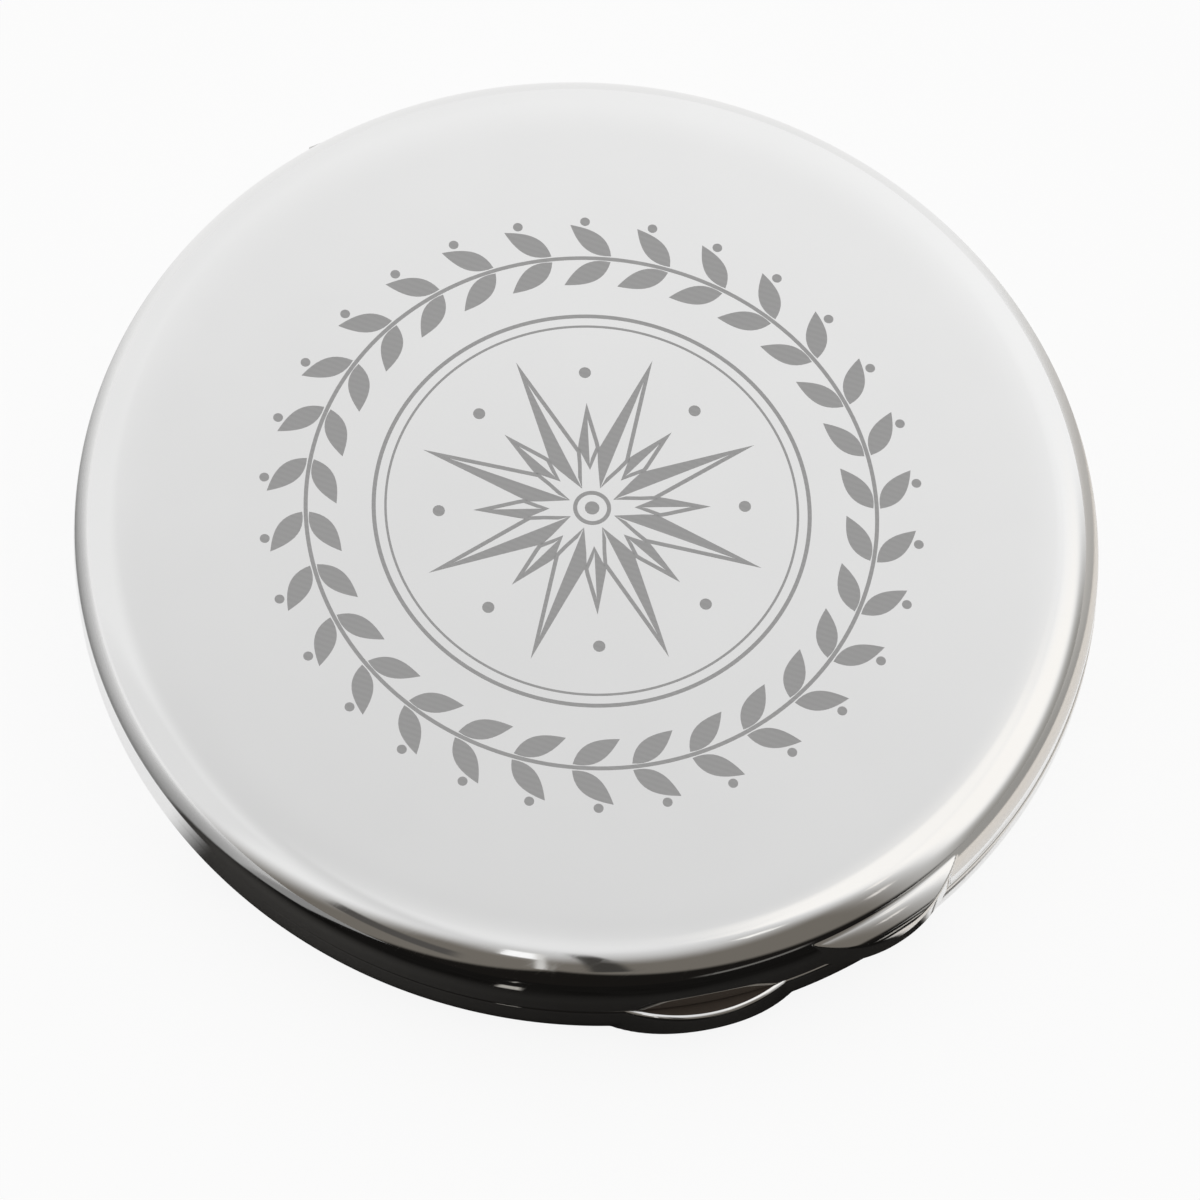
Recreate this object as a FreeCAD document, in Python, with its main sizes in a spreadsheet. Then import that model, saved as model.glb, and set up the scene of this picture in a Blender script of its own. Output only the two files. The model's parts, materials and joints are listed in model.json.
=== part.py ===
import FreeCAD, Part
import os
import re

import Sketcher

# Round pocket mirror: two pillow-shaped shells on a hinge, with a mirror in each half.
# The origin is the middle of the flat underside, the tabs face -Y and the hinge lies at +Y.

SIZES = (
    ("rim_radius", 35.0, "outside radius of both shells where they meet"),
    ("shell_sheet", 0.7, "sheet thickness of both shells"),
    ("base_floor_gap", 0.9, "hollow between the base's shell and its liner"),
    ("lid_floor_gap", 0.6, "hollow between the edge of the lid's dome and its liner"),
    ("shoulder_radius", 3.4, "round from the wall to the broad face"),
    ("lid_crown", 0.9, "rise of the lid's dome above its shoulder"),
    ("rim_round", 0.35, "rounded edge of each rim at the parting plane"),
    ("rim_gap", 0.1, "gap between the closed rims"),
    ("tab_reach", 1.05, "how far the thumb tabs stand out from the rim"),
    ("tab_height", 3.05, "height of the thumb tabs"),
    ("tab_round", 2.6, "rounded backs of the thumb tabs"),
    ("base_tab_angle", 11.8, "turn of the base's tab from the front, in degrees"),
    ("base_tab_radius", 11.0, "plan radius of the base's tab"),
    ("base_tab_edge", 2.1, "upright edge of the base's tab at its middle"),
    ("lid_tab_angle", 10.5, "turn of the lid's tab from the front, in degrees"),
    ("lid_tab_radius", 9.5, "plan radius of the lid's tab"),
    ("lid_tab_edge", 1.0, "upright edge of the lid's tab at its middle"),
    ("liner_sheet", 0.35, "sheet thickness of both liners"),
    ("liner_play", 0.03, "gap between a liner's edge and its shell"),
    ("liner_bend", 0.2, "rounded edges of a liner's flange"),
    ("flange_width", 5.0, "width of a liner's flange"),
    ("flange_drop", 0.3, "depth of a liner's flange below the parting plane"),
    ("mirror_play", 0.2, "gap round a mirror in its recess"),
    ("mirror_drop", 0.75, "depth of a mirror's edge below the parting plane"),
    ("mirror_glass", 1.8, "thickness of the glass at its edge"),
    ("magnifier_radius", 600.0, "radius of the base mirror's hollow face"),
    ("pad_margin", 4.6, "width of a mirror's back outside its adhesive pad"),
    ("pad_thickness", 0.4, "thickness of the adhesive pads"),
    ("bezel_width", 1.9, "width of the rings round the mirrors"),
    ("bezel_land", 0.5, "flat outer part of a ring's top"),
    ("bezel_play", 0.04, "gap between a ring and its recess"),
    ("leaf_sheet", 0.3, "sheet thickness of the hinge leaves"),
    ("leaf_setback", 0.4, "gap between a leaf and the recess wall"),
    ("hinge_inset", 0.4, "distance of the hinge axis inside the rim"),
    ("hinge_end_play", 0.6, "gap between the knuckles and the ends of the notch"),
    ("notch_play", 0.35, "gap between the knuckles and the notch"),
    ("knuckle_play", 0.08, "gap between neighbouring knuckles"),
    ("pin_play", 0.03, "running clearance of the pin in its knuckles"),
    ("pin_overhang", 0.2, "length of pin past the knuckles at each end"),
    ("pin_round", 0.2, "rounded ends of the pin"),
    ("rivet_radius", 0.5, "radius of the rivets' shanks"),
    ("rivet_play", 0.02, "gap round a rivet in its hole"),
    ("rivet_head_radius", 0.85, "radius of the rivets' heads"),
    ("rivet_head_height", 0.15, "height of the rivets' heads"),
    ("rivet_edge", 0.2, "width of sheet round a rivet's head"),
    ("hinge_rivet_offset", 3.2, "distance of the hinge rivets from the middle"),
    ("catch_sheet", 0.25, "sheet thickness of the catch's pieces"),
    ("tongue_width", 4.0, "width of the tongue"),
    ("tongue_rivet_offset", 3.4, "distance of the tongue's rivets from the middle"),
    ("tongue_outset", 1.1, "distance of the tongue outside the flange's middle"),
    ("tongue_hook", 0.35, "reach of the tongue's hook"),
    ("hook_height", 0.45, "height of the tongue's hook"),
    ("slot_play", 0.3, "gap round the tongue in its slot"),
    ("spring_height", 0.95, "height of the catch spring's arm"),
    ("spring_drop", 0.15, "gap between the arm and the flange above it"),
    ("spring_bump", 0.45, "reach of the spring's bump"),
    ("bump_half", 1.6, "half the length of the spring's bump"),
    ("bump_play", 0.15, "gap between the bump and the tongue"),
    ("hook_play", 0.1, "gap between the hook and the spring above it"),
    ("spring_tip", 3.0, "end of the spring's arm, from the middle"),
    ("spring_pivot", 8.0, "distance of the spring's rivet from the middle"),
    ("spring_foot_half", 1.7, "half the length of the spring's foot"),
)

NAMES = {name for name, value, note in SIZES}

doc = FreeCAD.newDocument("compact_mirror")
sheet = doc.addObject("Spreadsheet::Sheet", "Sizes")
for row, (name, value, note) in enumerate(SIZES, 1):
    sheet.set(f"A{row}", name)
    sheet.set(f"B{row}", str(value))
    sheet.set(f"C{row}", note)
    sheet.setAlias(f"B{row}", name)
doc.recompute()

# Places that follow from the sizes, as expressions.
FLANGE_BACK = "(flange_drop + liner_sheet)"
MIRROR_BACK = "(mirror_drop + mirror_glass)"
FLOOR_FACE = f"({MIRROR_BACK} + pad_thickness)"
FLOOR_BACK = f"({FLOOR_FACE} + liner_sheet)"
PARTING = f"({FLOOR_BACK} + base_floor_gap + shell_sheet)"
LID_WALL = f"({FLOOR_BACK} + lid_floor_gap + shell_sheet - shoulder_radius)"
SHOULDER = "(rim_radius - shoulder_radius)"
LINER_RADIUS = "(rim_radius - shell_sheet - liner_play)"
RECESS_OUTSIDE = f"({LINER_RADIUS} - flange_width)"
RECESS_RADIUS = f"({RECESS_OUTSIDE} - liner_sheet)"
MIRROR_RADIUS = f"({RECESS_RADIUS} - mirror_play)"
FLANGE_MIDDLE = f"(({RECESS_OUTSIDE} + {LINER_RADIUS}) / 2)"
BEZEL_RISE = "(mirror_drop - flange_drop)"
BEZEL_RUN = "(bezel_width - bezel_land)"
BARREL = f"({FLANGE_BACK} + leaf_sheet)"
BORE = f"({BARREL} - leaf_sheet)"
PIN = f"({BORE} - pin_play)"
HINGE_Y = "(rim_radius - hinge_inset)"
# The notch takes away the rim wherever it lies outside the hinge axis.
NOTCH_HALF = f"sqrt(rim_radius^2 - {HINGE_Y}^2)"
NOTCH_DEPTH = f"({BARREL} + notch_play)"
NOTCH_Y = f"({HINGE_Y} - {NOTCH_DEPTH})"
HINGE_HALF = f"({NOTCH_HALF} - hinge_end_play)"
KNUCKLES = 5
KNUCKLE = f"((2 * {HINGE_HALF} - {KNUCKLES - 1} * knuckle_play) / {KNUCKLES})"
HINGE_RIVET_Y = f"sqrt({FLANGE_MIDDLE}^2 - hinge_rivet_offset^2)"
RIVET_HOLE = "(rivet_radius + rivet_play)"
TONGUE_OUT = f"({FLANGE_MIDDLE} + tongue_outset)"
TONGUE_IN = f"({TONGUE_OUT} - catch_sheet)"
RIVET_ROOM = "(rivet_head_radius + rivet_edge)"
TONGUE_RIVET_Y = f"(-{TONGUE_IN} + {RIVET_ROOM})"
ARM_OUT = f"({TONGUE_IN} - bump_play - spring_bump)"
ARM_IN = f"({ARM_OUT} - catch_sheet)"
ARM_TOP = f"({FLANGE_BACK} + spring_drop)"
ARM_BOTTOM = f"({ARM_TOP} + spring_height)"
HOOK_TOP = f"({ARM_BOTTOM} + hook_play)"
HOOK_BOTTOM = f"({HOOK_TOP} + hook_height)"
SPRING_PIVOT_Y = f"(-{ARM_IN} + {RIVET_ROOM})"


def full(expression):
    """Give each size in an expression its sheet."""
    return re.sub(r"[a-z_]+", lambda word: f"Sizes.{word[0]}" if word[0] in NAMES else word[0], expression)


def number(expression):
    return float(sheet.evalExpression(full(expression)))


def bind(thing, values):
    for place, expression in values.items():
        thing.setExpression(place, full(expression))


def level(half, depth):
    """Height of a spot that lies so deep in one half, from the parting plane."""
    return f"({PARTING} {'-' if half == 'base' else '+'} {depth})"


# Sketches and solids

def new_body(label):
    body = doc.addObject("PartDesign::Body", label)
    body.Label = label
    return body


def new_sketch(body, role, name, offset=None):
    """Sketch on one of the body's own planes, moved by the offset's expressions."""
    sketch = body.newObject("Sketcher::SketchObject", f"{body.Label}_{name}")
    sketch.AttachmentSupport = [(next(f for f in body.Origin.OriginFeatures if f.Role == role), "")]
    sketch.MapMode = "FlatFace"
    bind(sketch, {f"AttachmentOffset.Base.{axis}": value for axis, value in (offset or {}).items()})
    return sketch


def hold(sketch, kind, where, expression):
    """Add a constraint whose value is bound to an expression."""
    index = sketch.addConstraint(Sketcher.Constraint(kind, *where, number(expression)))
    bind(sketch, {f"Constraints[{index}]": expression})


def hold_point(sketch, point, across, up):
    for kind, axis, expression in (("DistanceX", -2, across), ("DistanceY", -1, up)):
        if expression == "0":
            sketch.addConstraint(Sketcher.Constraint("PointOnObject", *point, axis))
        else:
            hold(sketch, kind, (-1, 1, *point), expression)


def arc_between(start, end, radius, clockwise):
    """Short arc from start to end, as a circle's arc that always runs counter-clockwise."""
    first, last = (end, start) if clockwise else (start, end)
    chord = last - first
    rise = (radius ** 2 - (chord.Length / 2) ** 2) ** 0.5
    across = FreeCAD.Vector(-chord.y, chord.x, 0).normalize()
    centre = (first + last) / 2 + across * rise
    angles = [(spot - centre).getAngle(FreeCAD.Vector(1, 0, 0)) for spot in (first, last)]
    angles = [a if spot.y >= centre.y else -a for a, spot in zip(angles, (first, last))]
    return Part.ArcOfCircle(Part.Circle(centre, FreeCAD.Vector(0, 0, 1), radius), *angles)


def outline(sketch, corners):
    """Closed outline. A corner with a third value starts a round edge of that radius, which bulges outwards
    unless a fourth value says otherwise."""
    spots = [FreeCAD.Vector(number(corner[0]), number(corner[1]), 0) for corner in corners]
    following = spots[1:] + spots[:1]
    clockwise = sum(a.x * b.y - b.x * a.y for a, b in zip(spots, following)) < 0
    ends = []
    for corner, start, end in zip(corners, spots, following):
        if len(corner) == 2:
            ends.append((sketch.addGeometry(Part.LineSegment(start, end)), 1, 2))
        else:
            backwards = clockwise != (len(corner) == 4)
            arc = arc_between(start, end, number(corner[2]), backwards)
            ends.append((sketch.addGeometry(arc), *((2, 1) if backwards else (1, 2))))
    for corner, (edge, start, end), after in zip(corners, ends, ends[1:] + ends[:1]):
        sketch.addConstraint(Sketcher.Constraint("Coincident", edge, end, *after[:2]))
        hold_point(sketch, (edge, start), corner[0], corner[1])
        if len(corner) > 2:
            hold(sketch, "Radius", (edge,), corner[2])


def rectangle(sketch, left, front, right, back):
    outline(sketch, [(left, front), (right, front), (right, back), (left, back)])


def circle(sketch, across, up, radius):
    centre = FreeCAD.Vector(number(across), number(up), 0)
    edge = sketch.addGeometry(Part.Circle(centre, FreeCAD.Vector(0, 0, 1), number(radius)))
    hold_point(sketch, (edge, 3), across, up)
    hold(sketch, "Radius", (edge,), radius)


def turn(body, kind, name, corners, offset=None, axis="V_Axis"):
    """Turn an outline on the XZ plane about one of its own axes, to add or to cut."""
    sketch = new_sketch(body, "XZ_Plane", f"{name}_outline", offset)
    outline(sketch, corners)
    feature = body.newObject(f"PartDesign::{kind}", f"{body.Label}_{name}")
    feature.Profile = (sketch, [""])
    feature.ReferenceAxis = (sketch, [axis])
    feature.Angle = 360
    return feature


def pad(body, name, sketch, length, side="One side", reverse=False):
    feature = body.newObject("PartDesign::Pad", f"{body.Label}_{name}")
    feature.Profile = (sketch, [""])
    feature.SideType = side
    feature.Reversed = reverse
    bind(feature, {"Length": length})
    return feature


def pocket(body, name, sketch, length=None, upward=False):
    """Cut a sketch's outlines down or up by a length, or right through both ways."""
    doc.recompute()
    before = body.Shape.Volume
    feature = body.newObject("PartDesign::Pocket", f"{body.Label}_{name}")
    feature.Profile = (sketch, [""])
    if length is None:
        feature.Type = "ThroughAll"
        feature.SideType = "Symmetric"
    else:
        feature.Reversed = upward
        bind(feature, {"Length": length})
    doc.recompute()
    if body.Shape.Volume >= before - 1e-6:
        raise RuntimeError(f"{feature.Label} cuts nothing")
    return feature


def box(name, low, high):
    block = doc.addObject("Part::Box", name)
    bind(block, {side: f"{b} - ({a})" for side, a, b in zip(("Length", "Width", "Height"), low, high)})
    bind(block, {f"Placement.Base.{axis}": value for axis, value in zip("xyz", low)})
    return block


def rod(name, place, radius, length, along_x=False):
    """Round rod that starts at a place and runs up, or along X."""
    bar = doc.addObject("Part::Cylinder", name)
    if along_x:
        bar.Placement.Rotation = FreeCAD.Rotation(FreeCAD.Vector(0, 1, 0), 90)
    bind(bar, {"Radius": radius, "Height": length})
    bind(bar, {f"Placement.Base.{axis}": value for axis, value in zip("xyz", place)})
    return bar


def fuse(name, pieces):
    joined = doc.addObject("Part::MultiFuse", name)
    joined.Shapes = pieces
    return joined


def cut(name, solid, tools):
    result = doc.addObject("Part::Cut", name)
    result.Base = solid
    result.Tool = tools[0] if len(tools) == 1 else fuse(f"{name}_tools", tools)
    return result


# Shells

def base_profile(inset):
    """Base shell's outline from the axis to its wall, moved inwards by an inset."""
    return [
        ("0", f"{inset}"),
        (SHOULDER, f"{inset}", f"shoulder_radius - {inset}"),
        (f"rim_radius - {inset}", "shoulder_radius"),
    ]


def lid_profile(inset):
    """Lid shell's outline from its wall to the top of its dome, moved inwards by an inset."""
    radius = f"(shoulder_radius - {inset})"
    centre = f"({PARTING} + {LID_WALL})"
    rise = f"({radius} + lid_crown)"
    dome = f"(({SHOULDER}^2 + {rise}^2 - {radius}^2) / (2 * lid_crown))"
    share = f"({dome} / ({dome} - {radius}))"
    return [
        (f"rim_radius - {inset}", centre, radius),
        (f"{SHOULDER} * {share}", f"{centre} + {rise} - {dome} + ({dome} - {rise}) * {share}", dome),
        ("0", f"{centre} + {rise}"),
    ]


def thumb_tab(body, half, side):
    """Upright disc at the rim, with its back rounded about the middle of the case."""
    radius, edge, angle = [f"{half}_tab_{word}" for word in ("radius", "edge", "angle")]
    mouth = level(half, "rim_gap / 2")
    back = level(half, "(rim_gap / 2 + tab_height)")
    centre = f"(rim_radius + tab_reach - {radius})"
    turn(body, "Revolution", "tab", [
        ("0", mouth),
        (f"{radius} - rim_round", mouth, "rim_round"),
        (radius, level(half, "(rim_gap / 2 + rim_round)")),
        (radius, back),
        ("0", back),
    ], {"x": f"{side} * {centre} * sin({angle})", "z": f"{centre} * cos({angle})"})
    low = "(tab_height - tab_round)"
    inner = f"(rim_radius + tab_reach - sqrt(tab_round^2 - ({edge} - {low})^2))"
    turn(body, "Groove", "tab_back", [
        (inner, back, "tab_round", "inwards"),
        (f"{inner} + tab_round", level(half, f"(rim_gap / 2 + {low})")),
        (f"{inner} + 2 * tab_round", level(half, f"(rim_gap / 2 + {low})")),
        (f"{inner} + 2 * tab_round", level(half, "(rim_gap / 2 + 2 * tab_height)")),
        (inner, level(half, "(rim_gap / 2 + 2 * tab_height)")),
    ])


def hinge_notch(body, half):
    """Cut the rim away round the hinge's knuckles."""
    sketch = new_sketch(body, "XY_Plane", "notch_outline", {"z": PARTING})
    rectangle(sketch, f"-{NOTCH_HALF}", NOTCH_Y, NOTCH_HALF, f"{HINGE_Y} + {NOTCH_DEPTH}")
    pocket(body, "notch", sketch, NOTCH_DEPTH, half == "lid")


def make_base_shell():
    body = new_body("base_shell")
    thumb_tab(body, "base", -1)
    mouth = level("base", "rim_gap / 2")
    turn(body, "Revolution", "pillow", base_profile("0") + [
        ("rim_radius", f"{mouth} - rim_round", "rim_round"),
        ("rim_radius - rim_round", mouth),
        ("0", mouth),
    ])
    turn(body, "Groove", "hollow", base_profile("shell_sheet") + [
        ("rim_radius - shell_sheet", f"{PARTING} + rim_gap"),
        ("0", f"{PARTING} + rim_gap"),
    ])
    hinge_notch(body, "base")
    return body


def make_lid_shell():
    body = new_body("lid_shell")
    thumb_tab(body, "lid", 1)
    mouth = level("lid", "rim_gap / 2")
    turn(body, "Revolution", "pillow", [
        ("0", mouth),
        ("rim_radius - rim_round", mouth, "rim_round"),
        ("rim_radius", f"{mouth} + rim_round"),
    ] + lid_profile("0"))
    turn(body, "Groove", "hollow", [
        ("0", f"{PARTING} - rim_gap"),
        ("rim_radius - shell_sheet", f"{PARTING} - rim_gap"),
    ] + lid_profile("shell_sheet"))
    hinge_notch(body, "lid")
    return body


# Liners, mirrors and their rings

def make_liner(half):
    """Tray with a flat flange in the shell's mouth and a round recess for the mirror."""
    body = new_body(f"{half}_liner")
    face = level(half, "flange_drop")
    back = level(half, FLANGE_BACK)
    floor = level(half, FLOOR_FACE)
    turn(body, "Revolution", "tray", [
        ("0", level(half, FLOOR_BACK)),
        (RECESS_OUTSIDE, level(half, FLOOR_BACK)),
        (RECESS_OUTSIDE, back),
        (LINER_RADIUS, back),
        (LINER_RADIUS, level(half, "(flange_drop + liner_bend)"), "liner_bend"),
        (f"{LINER_RADIUS} - liner_bend", face),
        (f"{RECESS_RADIUS} + liner_bend", face, "liner_bend"),
        (RECESS_RADIUS, level(half, "(flange_drop + liner_bend)")),
        (RECESS_RADIUS, floor),
        ("0", floor),
    ])
    openings = new_sketch(body, "XY_Plane", "openings")
    rectangle(openings, f"-{NOTCH_HALF}", NOTCH_Y, NOTCH_HALF, f"{HINGE_Y} + {NOTCH_DEPTH}")
    for side in ("-", ""):
        circle(openings, f"{side}hinge_rivet_offset", HINGE_RIVET_Y, RIVET_HOLE)
    if half == "base":
        reach = "(tongue_width / 2 + slot_play)"
        rectangle(openings, f"-{reach}", f"-{TONGUE_OUT} - slot_play", reach,
                  f"-{TONGUE_IN} + tongue_hook + slot_play")
        circle(openings, "-spring_pivot", SPRING_PIVOT_Y, RIVET_HOLE)
    else:
        for side in ("-", ""):
            circle(openings, f"{side}tongue_rivet_offset", TONGUE_RIVET_Y, RIVET_HOLE)
    pocket(body, "openings_cut", openings)
    return body


def make_mirror_pad(half):
    body = new_body(f"{half}_mirror_pad")
    back = level(half, MIRROR_BACK)
    floor = level(half, FLOOR_FACE)
    radius = f"{MIRROR_RADIUS} - pad_margin"
    turn(body, "Revolution", "disc", [("0", floor), (radius, floor), (radius, back), ("0", back)])
    return body


def make_base_mirror():
    """Glass with a flat back and a hollow, magnifying face, cut as a slice of a large ball."""
    disc = rod("base_mirror_disc", ("0", "0", level("base", MIRROR_BACK)), MIRROR_RADIUS, "mirror_glass")
    ball = doc.addObject("Part::Sphere", "base_mirror_ball")
    bind(ball, {
        "Radius": "magnifier_radius",
        "Placement.Base.z": f"{level('base', 'mirror_drop')} + sqrt(magnifier_radius^2 - {MIRROR_RADIUS}^2)",
    })
    return cut("base_mirror", disc, [ball])


def make_lid_mirror():
    return rod("lid_mirror", ("0", "0", level("lid", "mirror_drop")), MIRROR_RADIUS, "mirror_glass")


def make_bezel(half):
    """Ring over the mirror's edge, with a rounded slope towards the glass."""
    body = new_body(f"{half}_bezel")
    outside = f"({RECESS_RADIUS} - bezel_play)"
    inside = f"({outside} - bezel_width)"
    glass = level(half, "mirror_drop")
    top = level(half, "flange_drop")
    turn(body, "Revolution", "ring", [
        (inside, glass),
        (outside, glass),
        (outside, top),
        (f"{outside} - bezel_land", top, f"({BEZEL_RUN}^2 + {BEZEL_RISE}^2) / (2 * {BEZEL_RISE})"),
    ])
    return body


# Hinge

def make_hinge_leaf(half, knuckles):
    """Plate behind the liner's flange, with fingers that end in rolled knuckles on the hinge axis."""
    name = f"{half}_hinge_leaf"
    outer, inner = level(half, BARREL), level(half, FLANGE_BACK)
    low, high = (outer, inner) if half == "base" else (inner, outer)
    pieces = [box(f"{name}_plate", (f"-{HINGE_HALF}", f"{RECESS_OUTSIDE} + leaf_setback", low),
                  (HINGE_HALF, NOTCH_Y, high))]
    for index in knuckles:
        start = f"(-{HINGE_HALF} + {index} * ({KNUCKLE} + knuckle_play))"
        pieces.append(box(f"{name}_finger_{index}", (start, f"{NOTCH_Y} - leaf_setback", low),
                          (f"{start} + {KNUCKLE}", HINGE_Y, high)))
        pieces.append(rod(f"{name}_knuckle_{index}", (start, HINGE_Y, PARTING), BARREL, KNUCKLE, True))
    tools = [rod(f"{name}_bore", (f"-{NOTCH_HALF}", HINGE_Y, PARTING), BORE, f"2 * {NOTCH_HALF}", True)]
    for side in ("-", ""):
        tools.append(rod(f"{name}_hole_{len(tools)}", (f"{side}hinge_rivet_offset", HINGE_RIVET_Y, low),
                         RIVET_HOLE, "leaf_sheet"))
    return cut(name, fuse(f"{name}_blank", pieces), tools)


def make_hinge_pin():
    body = new_body("hinge_pin")
    half = f"({HINGE_HALF} + pin_overhang)"
    turn(body, "Revolution", "shaft", [
        (f"-{half}", "0"),
        (half, "0"),
        (half, f"{PIN} - pin_round", "pin_round"),
        (f"{half} - pin_round", PIN),
        (f"-{half} + pin_round", PIN, "pin_round"),
        (f"-{half}", f"{PIN} - pin_round"),
    ], {"y": PARTING, "z": f"-{HINGE_Y}"}, "H_Axis")
    return body


# Rivets

def make_rivet(name, across, along, low, high):
    """Shank through its stack of sheets, with a low domed head on each end."""
    shank = rod(f"{name}_shank", (across, along, low), "rivet_radius", f"{high} - {low}")
    pieces = [shank]
    for end, place, first, last in (("upper", high, 0, 90), ("lower", low, -90, 0)):
        head = doc.addObject("Part::Ellipsoid", f"{name}_{end}_head")
        head.Angle1 = first
        head.Angle2 = last
        bind(head, {
            "Radius1": "rivet_head_height",
            "Radius2": "rivet_head_radius",
            "Radius3": "rivet_head_radius",
            "Placement.Base.x": across,
            "Placement.Base.y": along,
            "Placement.Base.z": place,
        })
        pieces.append(head)
    return fuse(name, pieces)


def make_rivet_pair(label, offset, along, low, high):
    pair = doc.addObject("Part::Compound", label)
    pair.Links = [
        make_rivet(f"{label}_left", f"-{offset}", along, low, high),
        make_rivet(f"{label}_right", offset, along, low, high),
    ]
    return pair


# Catch

def make_catch_tongue():
    """Foot under the lid's flange and a blade that hangs down to a hook."""
    body = new_body("catch_tongue")
    top = level("lid", "flange_drop")
    blade = new_sketch(body, "YZ_Plane", "blade_outline")
    outline(blade, [
        (f"-{TONGUE_OUT}", top),
        (f"-{TONGUE_OUT}", level("base", HOOK_BOTTOM)),
        (f"-{TONGUE_IN}", level("base", HOOK_BOTTOM)),
        (f"-{TONGUE_IN} + tongue_hook", level("base", HOOK_TOP)),
        (f"-{TONGUE_IN}", level("base", HOOK_TOP)),
        (f"-{TONGUE_IN}", top),
    ])
    pad(body, "blade", blade, "tongue_width", "Symmetric")
    foot = new_sketch(body, "XY_Plane", "foot_outline", {"z": top})
    half_width = f"(tongue_rivet_offset + {RIVET_ROOM})"
    rectangle(foot, f"-{half_width}", f"-{TONGUE_OUT}", half_width, f"{TONGUE_RIVET_Y} + {RIVET_ROOM}")
    for side in ("-", ""):
        circle(foot, f"{side}tongue_rivet_offset", TONGUE_RIVET_Y, RIVET_HOLE)
    pad(body, "foot", foot, "catch_sheet", reverse=True)
    return body


def make_catch_spring():
    """Strip on edge under the base's flange, with a pressed bump and a foot round its rivet."""
    body = new_body("catch_spring")
    start = "(-spring_pivot - spring_foot_half)"
    root = "(-spring_pivot + spring_foot_half)"
    arm = new_sketch(body, "XY_Plane", "arm_outline", {"z": level("base", ARM_BOTTOM)})
    outline(arm, [
        (start, f"-{ARM_OUT}"),
        ("-bump_half", f"-{ARM_OUT}"),
        ("0", f"-{ARM_OUT} - spring_bump"),
        ("bump_half", f"-{ARM_OUT}"),
        ("spring_tip", f"-{ARM_OUT}"),
        ("spring_tip", f"-{ARM_IN}"),
        ("bump_half", f"-{ARM_IN}"),
        ("0", f"-{ARM_IN} - spring_bump"),
        ("-bump_half", f"-{ARM_IN}"),
        (start, f"-{ARM_IN}"),
    ])
    pad(body, "arm", arm, "spring_height")
    top = level("base", FLANGE_BACK)
    bend = new_sketch(body, "XY_Plane", "bend_outline", {"z": top})
    rectangle(bend, start, f"-{ARM_OUT}", root, f"-{ARM_IN}")
    pad(body, "bend", bend, "spring_drop + spring_height", reverse=True)
    foot = new_sketch(body, "XY_Plane", "foot_outline", {"z": top})
    rectangle(foot, start, f"-{ARM_OUT}", root, f"{SPRING_PIVOT_Y} + {RIVET_ROOM}")
    circle(foot, "-spring_pivot", SPRING_PIVOT_Y, RIVET_HOLE)
    pad(body, "foot", foot, "catch_sheet", reverse=True)
    return body


# Assembly

def make_all():
    nodes = [make_base_shell(), make_lid_shell(), make_base_mirror(), make_lid_mirror()]
    for half in ("base", "lid"):
        nodes += [make_liner(half), make_mirror_pad(half), make_bezel(half)]
    nodes += [make_hinge_leaf("base", (0, 2, 4)), make_hinge_leaf("lid", (1, 3)), make_hinge_pin()]
    nodes += [
        make_rivet_pair("base_hinge_rivets", "hinge_rivet_offset", HINGE_RIVET_Y,
                        level("base", BARREL), level("base", "flange_drop")),
        make_rivet_pair("lid_hinge_rivets", "hinge_rivet_offset", HINGE_RIVET_Y,
                        level("lid", "flange_drop"), level("lid", BARREL)),
        make_rivet_pair("catch_tongue_rivets", "tongue_rivet_offset", TONGUE_RIVET_Y,
                        level("lid", "(flange_drop - catch_sheet)"), level("lid", FLANGE_BACK)),
        make_rivet("catch_spring_rivet", "-spring_pivot", SPRING_PIVOT_Y,
                   level("base", f"({FLANGE_BACK} + catch_sheet)"), level("base", "flange_drop")),
    ]
    nodes += [make_catch_tongue(), make_catch_spring()]
    return nodes


def write_parts(nodes):
    doc.recompute()
    failed = [thing.Label for thing in doc.Objects if {"Invalid", "Error"} & set(thing.State)]
    failed += [node.Label for node in nodes if node.Shape.isNull() or not node.Shape.isValid()]
    if failed:
        raise RuntimeError("not built: " + ", ".join(failed))
    os.makedirs("parts", exist_ok=True)
    for node in nodes:
        node.Shape.exportStep(f"parts/{node.Label}.step")
        print(f"{node.Label}: {len(node.Shape.Solids)} solid(s), {node.Shape.Volume:.2f} mm3")


write_parts(make_all())
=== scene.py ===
import json
import math

import bmesh
import bpy
from mathutils import Matrix, Vector


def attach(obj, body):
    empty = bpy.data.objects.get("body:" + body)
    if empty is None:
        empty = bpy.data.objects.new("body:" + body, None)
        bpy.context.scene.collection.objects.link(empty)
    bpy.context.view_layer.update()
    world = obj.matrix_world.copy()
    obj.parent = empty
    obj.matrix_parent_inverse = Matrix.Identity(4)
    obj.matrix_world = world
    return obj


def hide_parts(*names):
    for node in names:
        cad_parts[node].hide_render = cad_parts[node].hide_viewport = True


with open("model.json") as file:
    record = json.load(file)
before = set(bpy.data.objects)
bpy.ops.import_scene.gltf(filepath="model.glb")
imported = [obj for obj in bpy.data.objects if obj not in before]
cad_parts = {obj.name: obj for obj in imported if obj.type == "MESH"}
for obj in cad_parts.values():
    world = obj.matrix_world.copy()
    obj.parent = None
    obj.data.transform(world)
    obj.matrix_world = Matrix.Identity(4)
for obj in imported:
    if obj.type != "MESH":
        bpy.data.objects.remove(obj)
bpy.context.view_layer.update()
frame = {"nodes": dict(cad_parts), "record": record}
nodes = frame["nodes"]

# One millimetre in metres, and one radian in degrees
MM = 0.001
RADIAN = 180 / math.pi

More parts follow.
